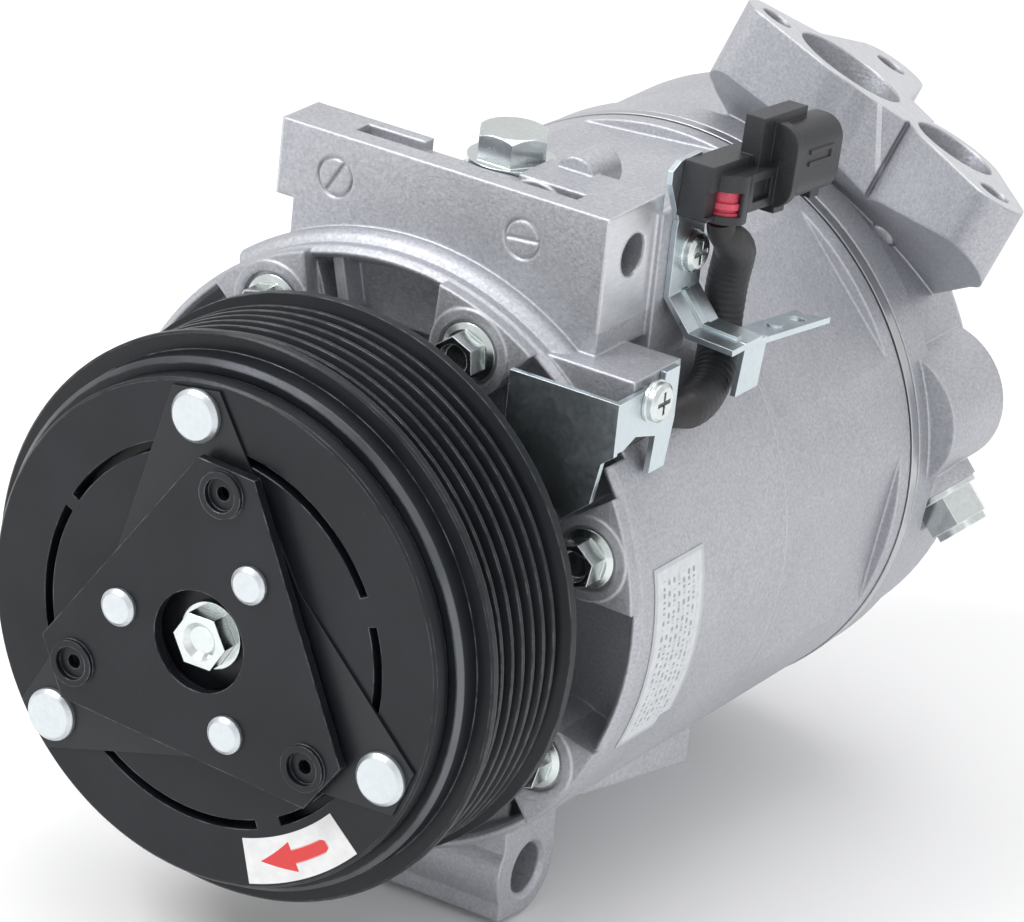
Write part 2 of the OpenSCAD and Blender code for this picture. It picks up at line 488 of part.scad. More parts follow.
module control_valve() color([0.7,0.66,0.5]) cv_frame() difference() {
  translate([0,0,3.6]) cylinder(r=8.96, h=44);
  for (z=[9,20,31]) translate([0,0,z]) difference() { cylinder(r=10, h=2.4); translate([0,0,-1]) cylinder(r=7.1, h=5); }
  translate([0,0,8]) cylinder(r=1.58, h=50);
  translate([0,0,12]) cylinder(r=5, h=6);
  translate([-10,0,26]) rotate([0,90,0]) cylinder(r=1.6, h=20);
}
module control_valve_seals() color(rubber) cv_frame() for (z=[10.2,21.2,32.2]) translate([0,0,z]) rotate_extrude($fn=64) translate([8.05,0]) circle(r=0.92,$fn=32);
module control_valve_ring() color(steel) cv_frame() difference() { translate([0,0,2.05]) cylinder(r=9.85, h=1.2); translate([0,0,1]) cylinder(r=7.4, h=4); translate([0,-2.5,0]) cube([12,5,5]); }
module control_rod() color(steel) cv_frame() translate([0,0,9]) { cylinder(r=1.5, h=33); translate([0,0,5]) cylinder(r=3.6, h=1.6); }

// ---------- lead, connector and sheet parts ----------
lead_route = [[34.2,16.6,26.6],[34.6,20.4,26],[35.8,24.2,24.4],[39.4,27.6,27.4],[44.4,29.4,33.2],
  [48.6,31,37.1],[50,36,38.3],[50.1,44,38.4],[51.6,49.5,38.7],[52.2,56,39],[51,62,40],[49.3,67.4,42.2],
  [47.2,71.6,45.6],[46,73.8,50.4],[46,74.4,57],[47.2,73.4,62.4],[48.4,71,65.6],[48.7,67.6,68.2],[48.45,65.2,70.2],[48.4,64.6,72.5]];
// bare wire under the cover, sleeve beyond it, narrower again at the connector
function lead_r(i) = i < 30 ? 2.3 : i < 34 ? 2.3+(sleeve_d/2-2.3)*(i-30)/4 :
  i < 62 ? sleeve_d/2-(i%2)*0.16 : i < 72 ? sleeve_d/2+(2.8-sleeve_d/2)*(i-62)/10 : 2.8;
lead_pts = smooth(lead_route, 4);
module coil_lead() color(rubber) tube(lead_pts, [for (i=[0:len(lead_pts)-1]) lead_r(i)], 12);

module lead_cover() color(zinc) difference() {
  union() {
    // front leaf
    translate([0,24.8,0]) rotate([90,0,0]) linear_extrude(1.2) polygon([[30,48.6],[54,48.6],[54,38],[51.5,36],[50,27.5],[44.2,22.6],[41.4,25.6],[30,37.4]]);
    // side leaf with its foot
    translate([52.8,0,0]) rotate([90,0,90]) linear_extrude(1.2) polygon([[23.6,48.6],[40,48.6],[40,50.4],[45,50.4],[45,40],[43,30.6],[37.5,30.6],[38.5,38],[31,40],[27,38.5],[23.6,38.5]]);
  }
  xcyl(2.7, 50, 56, 36, 46);
}
module clip_screws() color(zinc) for (p=[[43.05,63.5,65.3],[54.05,36,46]]) translate(p) rotate([0,90,0]) difference() {
  union() { translate([0,0,-11]) cylinder(r=2.48, h=11.1); cylinder(r=4.2, h=0.7); translate([0,0,0.7]) cylinder(r=3.9, h=1.2); translate([0,0,1.9]) cylinder(r1=3.9, r2=3.1, h=0.6); }
  for (a=[0,90]) rotate([0,0,a]) translate([-2.3,-0.45,1]) cube([4.6,0.9,4]);
}
module lead_bracket() color(zinc) difference() {
  union() {
    // fixed leaf and tongue that holds the connector
    translate([41.85,0,0]) rotate([90,0,90]) linear_extrude(1.2) polygon([[57.5,57.2],[68.6,57.2],[68.2,70],[66,75],[64,85],[56.5,85],[53.6,83.6],[53.6,81],[57.9,72.6],[57.5,70.6]]);
    // sloping leaf with a pressed bead along its middle
    translate([0,68.6,0]) rotate([90,0,0]) linear_extrude(11.1) polygon([[41.85,57.3],[43.05,57.3],[48.1,51.4],[58,50.8],[58,49.6],[47.6,50.2],[41.85,56.9]]);
    translate([0,64.4,0]) rotate([90,0,0]) linear_extrude(2) polygon([[43,57.3],[43.5,57.6],[48.3,52],[56,51.5],[56,50.4],[47.8,50.8]]);
    // arm pointing to the rear, dropping a little
    arm_frame() linear_extrude(1.2) polygon([[51.5,-3],[58,-3],[58,30.5],[54.2,26.8],[51.5,28.2]]);
    arm_frame() translate([54.6,14,0.6]) cylinder(r=1.7, h=1);
    // tab bent down from the outer edge
    translate([0,70.6,0]) rotate([90,0,0]) linear_extrude(8.2) polygon([[56.8,50.2],[58,50.2],[57,39.6],[55.8,39.6]]);
  }
  xcyl(2.7, 40, 45, 63.5, 65.3);
  arm_frame() translate([54.8,22.5,-2]) cylinder(r=1.7, h=6);
}
module arm_frame() translate([0,65,49.4]) rotate([-7,0,0]) children();
// frame of the connector: local y along its body, dropping slightly to the rear
module con_frame() translate([49.4,57,79.8]) rotate([-5,0,0]) children();
// block along local y with rounded long edges, centred on the y axis
module rbox(x, y, z, r) rotate([-90,0,0]) linear_extrude(y) {
  square([x-2*r, z], center=true); square([x, z-2*r], center=true);
  for (i=[-1,1]) for (j=[-1,1]) translate([i*(x/2-r), j*(z/2-r)]) circle(r=r,$fn=32); }
module connector() color(blk) difference() {
  union() {
    // flat rear part beside the bracket tongue and the tower of the wire
    con_frame() translate([-6.3,0,-5.5]) cube([6.4,20,10.9]);
    con_frame() translate([-1,8,-6.2]) cylinder(r=4.7, h=9.6);
    con_frame() translate([-3,9,-4.2]) cube([6.4,11,7.6]);
    // shroud with a lip, latch and ribs
    con_frame() translate([1.6,19,3.4]) rbox(10, 18.6, 15, 4.4);
    con_frame() translate([1.6,19,3.4]) rbox(11, 2.2, 16.6, 4.6);
    con_frame() translate([-2.6,14.5,9.6]) cube([4.2,16.4,3.4]);
    con_frame() translate([-2.6,14.5,3]) cube([4.2,5,8]);
    con_frame() translate([5.8,25,5.6]) cube([1.1,9,0.9]);
    con_frame() translate([5.8,25,3.2]) cube([1.1,9,0.9]);
    con_frame() translate([6,33.1,3.2]) cube([0.9,0.9,3.3]);
    con_frame() translate([-1,19,-5.8]) cube([5,4,2]);
    con_frame() translate([0,33,-5.2]) cube([4,3.4,1.6]);
  }
  // socket
  con_frame() translate([1.6,24,3.4]) rbox(7.8, 16, 12.4, 3.2);
  // recess of the side frame
  con_frame() translate([2.4,11,-2.4]) cube([4,6.4,4]);
  // bore of the wire seal and the window in front of it
  con_frame() translate([-1,8,-7]) cylinder(r=4.0, h=7.6);
  con_frame() translate([-0.6,-1,-4.6]) cube([8,8,4.8]);
  // pocket of the terminal root
  con_frame() translate([-1.25,13.95,-2.05]) cube([2.5,10.1,4.1]);
}
module wire_seal() color([0.8,0.3,0.35]) con_frame() translate([-1,8,-5.4]) union() {
  cylinder(r=3.9, h=1.3); translate([0,0,1.9]) cylinder(r=3.9, h=1.3); cylinder(r=3.3, h=5.8); }
module terminal() color([0.8,0.7,0.4]) con_frame() { translate([-0.4,21,-1.5]) cube([0.8,10,3]); translate([-0.4,24.5,-1.5]) cube([0.8,6.5,5]); translate([-1.2,14,-2]) cube([2.4,8,4]); }
module data_label() color([0.93,0.93,0.94]) difference() {
  yarc(body_r+0.03, body_r+0.18, 34.6, 52.6, -24.5, 12.6);
  at(-24.5) translate([58,48.4,-1]) rotate([0,0,0]) cube([5,6,4]);
}

front_housing();
cylinder_block();
rear_head();
valve_plate();
suction_reed();
discharge_reed();
head_gasket();
case_o_ring();
through_bolts();
pistons();
piston_shoes();
shaft_seal();
seal_ring();
bearing_shells();
coil_case();
coil_winding();
coil_ring();
pulley_bearing_inner();
nose_ring();
oil_plug();
oil_plug_washer();
relief_body();
relief_spring();
control_valve();
control_valve_seals();
control_valve_ring();
lead_bracket();
clip_screws();
lead_cover();
connector();
wire_seal();
terminal();
coil_lead();
data_label();
thrust_race();
pulley();
pulley_bearing_outer();
bearing_seals();
pulley_bearing_balls();
pulley_bearing_cage();
drive_shaft();
lug_plate();
swash_plate();
swash_sleeve();
hinge_pin();
destroke_spring();
clutch_hub();
hub_plate();
hub_rivets();
centre_bolt();
armature();
armature_rivets();
spring_plate();
direction_sticker();
shaft_needles();
thrust_needles();
relief_poppet();
control_rod();
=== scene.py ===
import bpy, bmesh, math, json
from mathutils import Vector, Matrix


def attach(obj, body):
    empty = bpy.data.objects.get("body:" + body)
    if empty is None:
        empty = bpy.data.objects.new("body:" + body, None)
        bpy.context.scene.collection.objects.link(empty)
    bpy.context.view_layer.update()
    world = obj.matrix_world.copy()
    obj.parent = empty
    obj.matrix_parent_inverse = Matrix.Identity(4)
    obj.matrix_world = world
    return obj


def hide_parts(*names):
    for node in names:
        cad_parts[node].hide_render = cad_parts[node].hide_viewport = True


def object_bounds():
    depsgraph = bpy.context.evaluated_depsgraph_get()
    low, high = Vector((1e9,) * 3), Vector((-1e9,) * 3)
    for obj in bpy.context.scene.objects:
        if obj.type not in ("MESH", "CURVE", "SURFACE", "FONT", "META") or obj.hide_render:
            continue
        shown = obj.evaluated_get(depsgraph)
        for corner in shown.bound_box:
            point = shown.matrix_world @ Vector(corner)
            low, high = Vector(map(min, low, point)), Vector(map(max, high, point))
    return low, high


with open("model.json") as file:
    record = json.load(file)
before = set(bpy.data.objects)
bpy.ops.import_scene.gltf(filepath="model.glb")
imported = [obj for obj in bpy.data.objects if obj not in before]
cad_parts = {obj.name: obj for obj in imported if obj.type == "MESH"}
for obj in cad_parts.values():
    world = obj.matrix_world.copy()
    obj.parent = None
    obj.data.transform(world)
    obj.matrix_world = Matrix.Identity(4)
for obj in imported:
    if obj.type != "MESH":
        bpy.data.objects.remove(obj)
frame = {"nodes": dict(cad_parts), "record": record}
CAD_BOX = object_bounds()
N = frame["nodes"]

# ------------------------------------------------------------------ materials
class Mat:
    """A small builder for procedural node materials on object coordinates (metres)."""
    def __init__(self, name):
        self.m = bpy.data.materials.new(name)
        self.m.use_nodes = True
        self.t = self.m.node_tree
        self.n = self.t.nodes
        self.l = self.t.links
        for x in list(self.n):
            self.n.remove(x)
        self.out = self.n.new("ShaderNodeOutputMaterial")
        self.b = self.n.new("ShaderNodeBsdfPrincipled")
        self.l.new(self.b.outputs[0], self.out.inputs[0])
        self.co = self.n.new("ShaderNodeTexCoord").outputs["Object"]
        self._bumps = []

    def link(self, a, b):
        self.l.new(a, b)

    def val(self, sock, v):
        if hasattr(v, "is_output") or hasattr(v, "links"):
            self.l.new(v, sock)
        else:
            sock.default_value = v

    def math(self, op, a, b=None, c=None, clamp=False):
        x = self.n.new("ShaderNodeMath")
        x.operation = op
        x.use_clamp = clamp
        self.val(x.inputs[0], a)
        if b is not None:
            self.val(x.inputs[1], b)
        if c is not None:
            self.val(x.inputs[2], c)
        return x.outputs[0]

    def xyz(self, vec=None):
        s = self.n.new("ShaderNodeSeparateXYZ")
        self.link(vec or self.co, s.inputs[0])
        return s.outputs

    def comb(self, x, y, z):
        s = self.n.new("ShaderNodeCombineXYZ")
        for i, v in enumerate((x, y, z)):
            self.val(s.inputs[i], v)
        return s.outputs[0]

    def radius(self, cx=0.0, cz=0.0):
        """distance from the line through (cx, *, cz) along Y"""
        o = self.xyz()
        a = self.math("SUBTRACT", o[0], cx)
        b = self.math("SUBTRACT", o[2], cz)
        return self.math("SQRT", self.math("ADD", self.math("MULTIPLY", a, a), self.math("MULTIPLY", b, b)))

    def noise(self, scale, detail=3.0, rough=0.55, vec=None, dist=0.0):
        x = self.n.new("ShaderNodeTexNoise")
        self.link(vec or self.co, x.inputs["Vector"])
        x.inputs["Scale"].default_value = scale
        x.inputs["Detail"].default_value = detail
        x.inputs["Roughness"].default_value = rough
        x.inputs["Distortion"].default_value = dist
        return x.outputs[0]

    def voronoi(self, scale, feature="F1", vec=None, rnd=1.0):
        x = self.n.new("ShaderNodeTexVoronoi")
        x.feature = feature
        self.link(vec or self.co, x.inputs["Vector"])
        x.inputs["Scale"].default_value = scale
        x.inputs["Randomness"].default_value = rnd
        return x.outputs[0]

    def ramp(self, fac, stops, interp="LINEAR"):
        x = self.n.new("ShaderNodeValToRGB")
        x.color_ramp.interpolation = interp
        e = x.color_ramp.elements
        while len(e) > 1:
            e.remove(e[-1])
        e[0].position, c = stops[0][0], stops[0][1]
        e[0].color = c if len(c) == 4 else (*c, 1)
        for p, c in stops[1:]:
            k = e.new(p)
            k.color = c if len(c) == 4 else (*c, 1)
        self.link(fac, x.inputs[0])
        return x.outputs[0]

    def maprange(self, v, a, b, c, d, smooth=False):
        x = self.n.new("ShaderNodeMapRange")
        if smooth:
            x.interpolation_type = "SMOOTHSTEP"
        self.link(v, x.inputs[0])
        for i, k in enumerate((a, b, c, d)):
            x.inputs[1 + i].default_value = k
        return x.outputs[0]

    def mix(self, fac, a, b, mode="MIX"):
        x = self.n.new("ShaderNodeMix")
        x.data_type = "RGBA"
        x.blend_type = mode
        self.val(x.inputs[0], fac)
        for s, v in ((x.inputs[6], a), (x.inputs[7], b)):
            if isinstance(v, (tuple, list)):
                s.default_value = (*v[:3], 1)
            else:
                self.link(v, s)
        return x.outputs[2]

    def mixf(self, fac, a, b):
        x = self.n.new("ShaderNodeMix")
        x.data_type = "FLOAT"
        self.val(x.inputs[0], fac)
        self.val(x.inputs[2], a)
        self.val(x.inputs[3], b)
        return x.outputs[0]

    def band(self, v, lo, hi, soft=0.0002):
        """1 inside lo..hi, soft edges"""
        a = self.maprange(v, lo - soft, lo + soft, 0, 1)
        b = self.maprange(v, hi - soft, hi + soft, 1, 0)
        return self.math("MULTIPLY", a, b)

    def bump(self, h, strength, dist):
        self._bumps.append((h, strength, dist))

    def edge(self, radius=0.0006, samples=6):
        """1 near sharp edges, from the difference between rounded and true normal"""
        bv = self.n.new("ShaderNodeBevel")
        bv.samples = samples
        bv.inputs["Radius"].default_value = radius
        g = self.n.new("ShaderNodeNewGeometry")
        d = self.n.new("ShaderNodeVectorMath")
        d.operation = "DOT_PRODUCT"
        self.link(bv.outputs[0], d.inputs[0])
        self.link(g.outputs["Normal"], d.inputs[1])
        return self.maprange(d.outputs["Value"], 0.995, 0.82, 0, 1)

    def finish(self, bevel=0.0004):
        prev = None
        if bevel:
            bv = self.n.new("ShaderNodeBevel")
            bv.samples = 6
            bv.inputs["Radius"].default_value = bevel
            prev = bv.outputs[0]
        for h, s, d in self._bumps:
            b = self.n.new("ShaderNodeBump")
            b.inputs["Strength"].default_value = s
            b.inputs["Distance"].default_value = d
            self.link(h, b.inputs["Height"])
            if prev is not None:
                self.link(prev, b.inputs["Normal"])
            prev = b.outputs[0]
        if prev is not None:
            self.link(prev, self.b.inputs["Normal"])
        return self.m


def machined_mask_port(m):
    """1 on the milled port face: a plane given by its normal and offset"""
    d = m.n.new("ShaderNodeVectorMath")
    d.operation = "DOT_PRODUCT"
    m.link(m.co, d.inputs[0])
    a, b = math.radians(-18), math.radians(22)
    n = Vector((math.sin(b) * math.cos(a), -math.sin(a), math.cos(b) * math.cos(a)))
    p = Vector((0.081 * math.sin(b), 0.150, 0.081 * math.cos(b)))
    d.inputs[1].default_value = n
    return m.band(d.outputs["Value"], n.dot(p) - 0.0002, n.dot(p) + 0.0005, 0.00005), n, p


def cast_aluminium():
    m = Mat("cast_aluminium_sand")
    fine = m.noise(1500, 4, 0.7)
    grain = m.voronoi(1100)
    pit = m.noise(620, 2, 0.6)
    cloud = m.noise(38, 4, 0.6)
    stain = m.noise(13, 3, 0.6, dist=0.6)
    col = m.ramp(fine, [(0.28, (0.30, 0.305, 0.335)), (0.5, (0.455, 0.463, 0.50)), (0.74, (0.63, 0.64, 0.67))])
    col = m.mix(0.30, col, m.ramp(cloud, [(0.3, (0.37, 0.38, 0.42)), (0.7, (0.56, 0.57, 0.60))]))
    col = m.mix(0.14, col, m.ramp(stain, [(0.35, (0.33, 0.34, 0.385)), (0.65, (0.60, 0.60, 0.62))]))
    e = m.edge(0.0007)
    col = m.mix(m.math("MULTIPLY", e, 0.5), col, (0.78, 0.79, 0.81))
    mk, _n, _p = machined_mask_port(m)
    o = m.xyz()
    ends = m.math("MULTIPLY", m.math("ADD", m.band(o[0], 0.0400, 0.0410, 0.00008), m.band(o[0], -0.0336, -0.0326, 0.00008)),
                  m.math("GREATER_THAN", o[2], 0.055))
    mk = m.math("MAXIMUM", mk, ends)
    mill = m.noise(300, 3, 0.6, vec=m.comb(m.math("MULTIPLY", o[0], 0.15), o[1], m.math("MULTIPLY", o[2], 6.0)))
    col = m.mix(m.math("MULTIPLY", mk, 0.75), col, m.ramp(mill, [(0.3, (0.62, 0.63, 0.66)), (0.7, (0.74, 0.75, 0.78))]))
    m.link(col, m.b.inputs["Base Color"])
    m.b.inputs["Metallic"].default_value = 0.72
    rg = m.mixf(0.45, m.maprange(pit, 0.3, 0.7, 0.40, 0.58), m.maprange(cloud, 0.3, 0.7, 0.42, 0.54))
    rg = m.mixf(m.math("MULTIPLY", e, 0.6), rg, 0.30)
    rg = m.mixf(mk, rg, 0.30)
    m.link(rg, m.b.inputs["Roughness"])
    keep = m.math("SUBTRACT", 1.0, m.math("MULTIPLY", mk, 0.85))
    m.bump(m.math("MULTIPLY", fine, keep), 0.42, 0.00022)
    m.bump(m.math("MULTIPLY", grain, keep), 0.22, 0.00016)
    m.bump(m.noise(160, 3, 0.5), 0.25, 0.00035)
    return m


def metal(name, col, rough, spread=0.08, metallic=1.0, scale=900, var=0.12, bumps=0.12, brush=None, edge=0.35, bevel=0.0004, tint=None):
    m = Mat(name)
    vec = m.co
    if brush == "turn":      # concentric lines round the shaft axis
        r = m.radius()
        o = m.xyz()
        vec = m.comb(m.math("MULTIPLY", r, 1.0), m.math("MULTIPLY", o[1], 1.0), 0.0)
    f = m.noise(scale, 3, 0.6, vec=vec)
    c = m.noise(60, 3, 0.6)
    lo = tuple(max(0.0, x * (1 - var)) for x in col)
    hi = tuple(min(1.0, x * (1 + var)) for x in col)
    k = m.ramp(m.mixf(0.5, f, c), [(0.3, lo), (0.7, hi)])
    if tint:
        k = m.mix(m.maprange(m.noise(90, 4, 0.65, dist=1.0), 0.40, 0.68, 0, 0.45), k, tint)
    if edge:
        e = m.edge(0.0005)
        k = m.mix(m.math("MULTIPLY", e, edge), k, tuple(min(1, x * 1.35 + 0.05) for x in col))
    m.link(k, m.b.inputs["Base Color"])
    m.b.inputs["Metallic"].default_value = metallic
    m.link(m.maprange(m.mixf(0.5, f, c), 0.3, 0.7, rough - spread, rough + spread), m.b.inputs["Roughness"])
    m.bump(f, bumps, 0.00012)
    return m


def paint_black():
    """satin black coat over steel: orange peel, dust, and a bright painted highlight ring on the bevel of the pulley
    rim
    """
    m = Mat("black_coat")
    peel = m.noise(420, 2, 0.5)
    fine = m.noise(2200, 3, 0.6)
    cloud = m.noise(45, 3, 0.6)
    col = m.ramp(cloud, [(0.3, (0.0055, 0.0065, 0.009)), (0.7, (0.011, 0.0125, 0.016))])
    dust = m.maprange(m.noise(1300, 2, 0.8), 0.66, 0.80, 0, 0.10)
    col = m.mix(dust, col, (0.16, 0.17, 0.18))
    e = m.edge(0.00045)
    wear = m.math("MULTIPLY", e, m.maprange(m.noise(220, 3, 0.7), 0.42, 0.62, 0.05, 0.5))
    col = m.mix(wear, col, (0.33, 0.35, 0.38))
    # painted highlight: a lighter, metallic ring on the bevel of the pulley rim
    o = m.xyz()
    r = m.radius()
    rim_bevel_highlight = m.math("MULTIPLY", m.band(r, 0.0512, 0.0521, 0.00008), m.band(o[1], -0.0195, -0.01815, 0.0001))
    col = m.mix(m.math("MULTIPLY", rim_bevel_highlight, m.maprange(m.noise(26, 3, 0.6), 0.35, 0.65, 0.25, 0.8)), col, (0.16, 0.17, 0.185))
    m.link(col, m.b.inputs["Base Color"])
    m.link(m.mixf(rim_bevel_highlight, m.math("MULTIPLY", wear, 0.8), 0.8), m.b.inputs["Metallic"])
    m.link(m.maprange(m.mixf(0.6, cloud, fine), 0.3, 0.7, 0.28, 0.42), m.b.inputs["Roughness"])
    m.b.inputs["Specular IOR Level"].default_value = 0.30
    m.bump(peel, 0.10, 0.0003)
    m.bump(fine, 0.08, 0.0001)
    return m


def rubber(name, col=(0.012, 0.012, 0.013), rough=0.6, bump=0.2, scale=1400):
    m = Mat(name)
    f = m.noise(scale, 3, 0.6)
    c = m.noise(70, 3, 0.5)
    m.link(m.ramp(m.mixf(0.5, f, c), [(0.3, tuple(x * 0.7 for x in col)), (0.7, tuple(min(1, x * 1.6 + 0.004) for x in col))]), m.b.inputs["Base Color"])
    m.link(m.maprange(f, 0.3, 0.7, rough - 0.08, rough + 0.1), m.b.inputs["Roughness"])
    m.bump(f, bump, 0.00015)
    return m


def winding():
    m = Mat("copper_winding")
    r = m.radius()
    o = m.xyz()
    w = m.math("SINE", m.math("MULTIPLY", r, 2 * math.pi / 0.0006))
    v = m.math("SINE", m.math("MULTIPLY", o[1], 2 * math.pi / 0.0006))
    h = m.math("MULTIPLY", w, v)
    m.link(m.ramp(m.noise(120, 3), [(0.3, (0.42, 0.16, 0.06)), (0.7, (0.62, 0.28, 0.12))]), m.b.inputs["Base Color"])
    m.b.inputs["Metallic"].default_value = 0.9
    m.link(m.maprange(m.noise(300), 0.3, 0.7, 0.25, 0.4), m.b.inputs["Roughness"])
    m.bump(h, 0.5, 0.0002)
    return m


MATS = {}
al = cast_aluminium()
MATS["cast_aluminium"] = al.finish(0.0009)
MATS["piston_aluminium"] = metal("piston_aluminium", (0.70, 0.71, 0.72), 0.34, brush="turn").finish()
MATS["zinc_fastener"] = metal("zinc_bright", (0.66, 0.69, 0.69), 0.24, 0.07, var=0.12, tint=(0.56, 0.66, 0.62), edge=0.5, bumps=0.06).finish(0.0003)
MATS["zinc_sheet"] = metal("zinc_sheet", (0.58, 0.645, 0.675), 0.34, 0.07, var=0.12, tint=(0.56, 0.65, 0.68), edge=0.4, bumps=0.05).finish(0.0002)
MATS["plain_steel"] = metal("plain_steel", (0.50, 0.51, 0.53), 0.32, brush="turn").finish()
MATS["spring_steel"] = metal("spring_steel", (0.010, 0.012, 0.015), 0.38, 0.06, metallic=0.2, var=0.25, edge=0.10).finish(0.0002)
MATS["bearing_steel"] = metal("bearing_steel", (0.66, 0.67, 0.69), 0.18, 0.05, brush="turn", bumps=0.05).finish(0.0002)
MATS["rivet_steel"] = metal("rivet_bright", (0.60, 0.64, 0.665), 0.36, 0.08, var=0.10, metallic=0.85, bumps=0.1, edge=0.2).finish(0.0004)
MATS["black_paint"] = paint_black().finish(0.0004)
MATS["black_rubber"] = rubber("black_rubber").finish(0.0002)
MATS["gasket"] = rubber("gasket_rubber", (0.014, 0.014, 0.016), 0.55).finish(0)
MATS["copper"] = winding().finish(0)
MATS["brass"] = metal("brass", (0.72, 0.54, 0.26), 0.28, brush="turn").finish(0.0002)
MATS["connector_plastic"] = rubber("moulded_plastic", (0.016, 0.017, 0.020), 0.42, 0.25, 2600).finish(0.0004)
MATS["seal_red"] = rubber("seal_silicone", (0.55, 0.06, 0.10), 0.45, 0.15).finish(0.0003)
MATS["lead_sleeve"] = rubber("lead_sleeve", (0.013, 0.013, 0.015), 0.5, 0.5, 700).finish(0)


def label():
    """white film with a thin frame and a few plain grey bars, no lettering"""
    m = Mat("label_film")
    o = m.xyz()
    ang = m.math("MULTIPLY", m.math("ARCTAN2", o[2], o[0]), 0.0605)     # along the barrel, metres
    y = o[1]
    base = m.ramp(m.noise(500, 3, 0.6), [(0.3, (0.55, 0.58, 0.60)), (0.7, (0.66, 0.68, 0.70))])
    # frame
    fr = m.math("SUBTRACT", 1.0, m.math("MULTIPLY", m.band(ang, -0.0249, 0.0124, 0.00008), m.band(y, 0.0356, 0.0517, 0.00008)))
    base = m.mix(m.math("MULTIPLY", fr, 0.5), base, (0.36, 0.38, 0.41))
    # rows of plain bars
    nz = m.noise(900, 1, 0.5, vec=m.comb(ang, m.math("MULTIPLY", m.math("ROUND", m.math("MULTIPLY", y, 560)), 0.37), 0.0))
    bars = m.maprange(nz, 0.49, 0.53, 0, 1)
    rows = m.maprange(m.math("SINE", m.math("MULTIPLY", y, 2 * math.pi * 560)), 0.05, 0.45, 0, 1)
    inside = m.math("MULTIPLY", m.band(ang, -0.0225, 0.0102, 0.0001), m.band(y, 0.0372, 0.0502, 0.0001))
    k = m.math("MULTIPLY", m.math("MULTIPLY", bars, rows), inside)
    base = m.mix(m.math("MULTIPLY", k, 0.72), base, (0.16, 0.17, 0.19))
    m.link(base, m.b.inputs["Base Color"])
    m.link(m.maprange(m.noise(300), 0.3, 0.7, 0.30, 0.42), m.b.inputs["Roughness"])
    m.bump(m.noise(90, 2), 0.15, 0.0003)
    return m


MATS["label_white"] = label().finish(0)


def sticker():
    """white film with a red arrow along the turning direction"""
    m = Mat("direction_film")
    o = m.xyz()
    r = m.radius()
    a = m.math("MULTIPLY", m.math("ARCTAN2", o[2], o[0]), 180 / math.pi)   # degrees
    a = m.math("ADD", a, 58.0)           # 0 at the sticker's middle
    t = m.math("DIVIDE", a, 16.0)        # -1 .. 1
    h = m.math("DIVIDE", m.math("SUBTRACT", r, 0.0441), 0.0045)
    ah = m.math("ABSOLUTE", h)
    # shaft of the arrow and its head, pointing to smaller angles
    shaft = m.math("MULTIPLY", m.band(t, -0.12, 0.62, 0.02), m.maprange(ah, 0.26, 0.34, 1, 0))
    width = m.math("MULTIPLY", m.math("ADD", t, 0.72), 1.05)
    head = m.math("MULTIPLY", m.math("LESS_THAN", ah, width), m.math("LESS_THAN", t, -0.08))
    notch = m.math("GREATER_THAN", m.math("SUBTRACT", 0.72, m.math("MULTIPLY", ah, 0.6)), t)
    k = m.math("MULTIPLY", m.math("MAXIMUM", shaft, head), notch)
    base = m.ramp(m.noise(400, 3), [(0.3, (0.62, 0.62, 0.63)), (0.7, (0.72, 0.72, 0.72))])
    base = m.mix(k, base, (0.60, 0.035, 0.035))
    m.link(base, m.b.inputs["Base Color"])
    m.link(m.maprange(m.noise(300), 0.3, 0.7, 0.32, 0.45), m.b.inputs["Roughness"])
    m.bump(m.noise(120, 2), 0.1, 0.0002)
    return m


STICKER = sticker().finish(0)

rec = frame["record"]
slot_of = {s["node"]: s["material_slot"] for s in rec["subparts"]}
for name, o in N.items():
    mat = MATS.get(slot_of.get(name))
    if name == "direction_sticker":
        mat = STICKER
    if mat is None:
        continue
    o.data.materials.clear()
    o.data.materials.append(mat)

